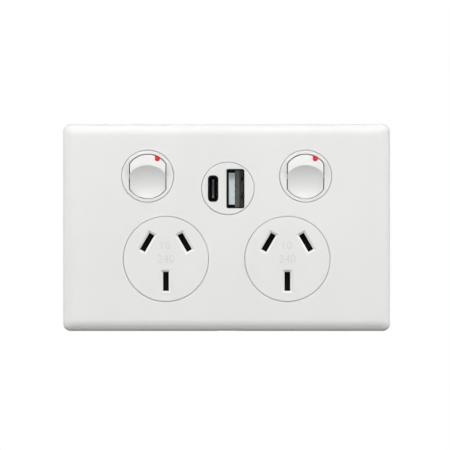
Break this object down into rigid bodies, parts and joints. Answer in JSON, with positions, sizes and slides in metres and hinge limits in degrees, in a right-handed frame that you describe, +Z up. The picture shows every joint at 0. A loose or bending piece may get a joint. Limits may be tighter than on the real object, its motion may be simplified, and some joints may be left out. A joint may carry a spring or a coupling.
{
  "type": "usb wall socket",
  "caption": "Wall plate with switched three-pin outlets, rocker switches and a USB charging module between them, over a deep wiring housing.",
  "frame": {"origin": "middle of the two fixing holes, on the wall's surface", "axes": "+X to the right seen from the front, +Y into the wall, +Z up"},
  "size_m": [0.12, 0.0378, 0.076],
  "materials": {
    "white_plastic": "fine satin moulded white",
    "housing_plastic": "fine textured dark grey moulding",
    "zinc_steel": "bright zinc-plated steel",
    "brass": "pressed brass sheet",
    "terminal_brass": "turned and drilled brass",
    "case_plastic": "black moulded plastic",
    "shell_steel": "dark nickel-plated steel sheet",
    "tongue_plastic": "pale blue-white moulded plastic",
    "gold_contact": "gold-plated contact strip",
    "board_green": "green solder mask over glass laminate",
    "core_dark": "ferrite core with yellow tape",
    "can_aluminium": "sleeved aluminium can",
    "mark_red": "bright red moulded insert"
  },
  "bodies": {
    "housing": {"cover_plate": "white_plastic", "mounting_frame": "white_plastic", "rear_housing": "housing_plastic", "wire_guard": "housing_plastic", "contact_carrier": "case_plastic", "housing_screw_1": "zinc_steel", "housing_screw_2": "zinc_steel", "housing_screw_3": "zinc_steel", "housing_screw_4": "zinc_steel", "earth_bar": "brass", "neutral_bar": "brass", "active_bar": "brass", "switched_contact_left": "brass", "switched_contact_right": "brass", "terminal_active": "terminal_brass", "terminal_earth": "terminal_brass", "terminal_neutral": "terminal_brass", "terminal_screw_active": "terminal_brass", "terminal_screw_earth": "terminal_brass", "terminal_screw_neutral": "terminal_brass", "usb_front": "white_plastic", "usb_case": "case_plastic", "usb_a_shell": "shell_steel", "usb_c_shell": "shell_steel", "usb_a_tongue": "tongue_plastic", "usb_c_tongue": "case_plastic", "usb_a_contacts": "gold_contact", "usb_port_board": "board_green", "usb_power_board": "board_green", "usb_board_pins": "gold_contact", "usb_transformer": "core_dark", "usb_capacitor_large": "can_aluminium", "usb_capacitor_small": "can_aluminium", "switch_bezel_left": "white_plastic", "switch_bezel_right": "white_plastic"},
    "rocker_left": {"rocker_left": "white_plastic", "on_mark_left": "mark_red", "plunger_left": "case_plastic", "plunger_spring_left": "zinc_steel"},
    "arm_left": {"contact_arm_left": "brass"},
    "rocker_right": {"rocker_right": "white_plastic", "on_mark_right": "mark_red", "plunger_right": "case_plastic", "plunger_spring_right": "zinc_steel"},
    "arm_right": {"contact_arm_right": "brass"}
  },
  "joints": [
    {"name": "rocker_tilt_left", "type": "hinge", "parent": "housing", "child": "rocker_left", "pos_m": [-0.02885, -0.0074, 0.0187], "axis": [-1, 0, 0], "range_deg": [0, 16]},
    {"name": "arm_tilt_left", "type": "hinge", "parent": "housing", "child": "arm_left", "pos_m": [-0.02885, 0.00381, 0.0187], "axis": [1, 0, 0], "range_deg": [0, 14]},
    {"name": "rocker_tilt_right", "type": "hinge", "parent": "housing", "child": "rocker_right", "pos_m": [0.02885, -0.0074, 0.0187], "axis": [-1, 0, 0], "range_deg": [0, 16]},
    {"name": "arm_tilt_right", "type": "hinge", "parent": "housing", "child": "arm_right", "pos_m": [0.02885, 0.00381, 0.0187], "axis": [1, 0, 0], "range_deg": [0, 14]}
  ],
  "couplings": [
    {"joint": "arm_tilt_left", "follows": "rocker_tilt_left", "ratio": 0.875},
    {"joint": "arm_tilt_right", "follows": "rocker_tilt_right", "ratio": 0.875}
  ]
}
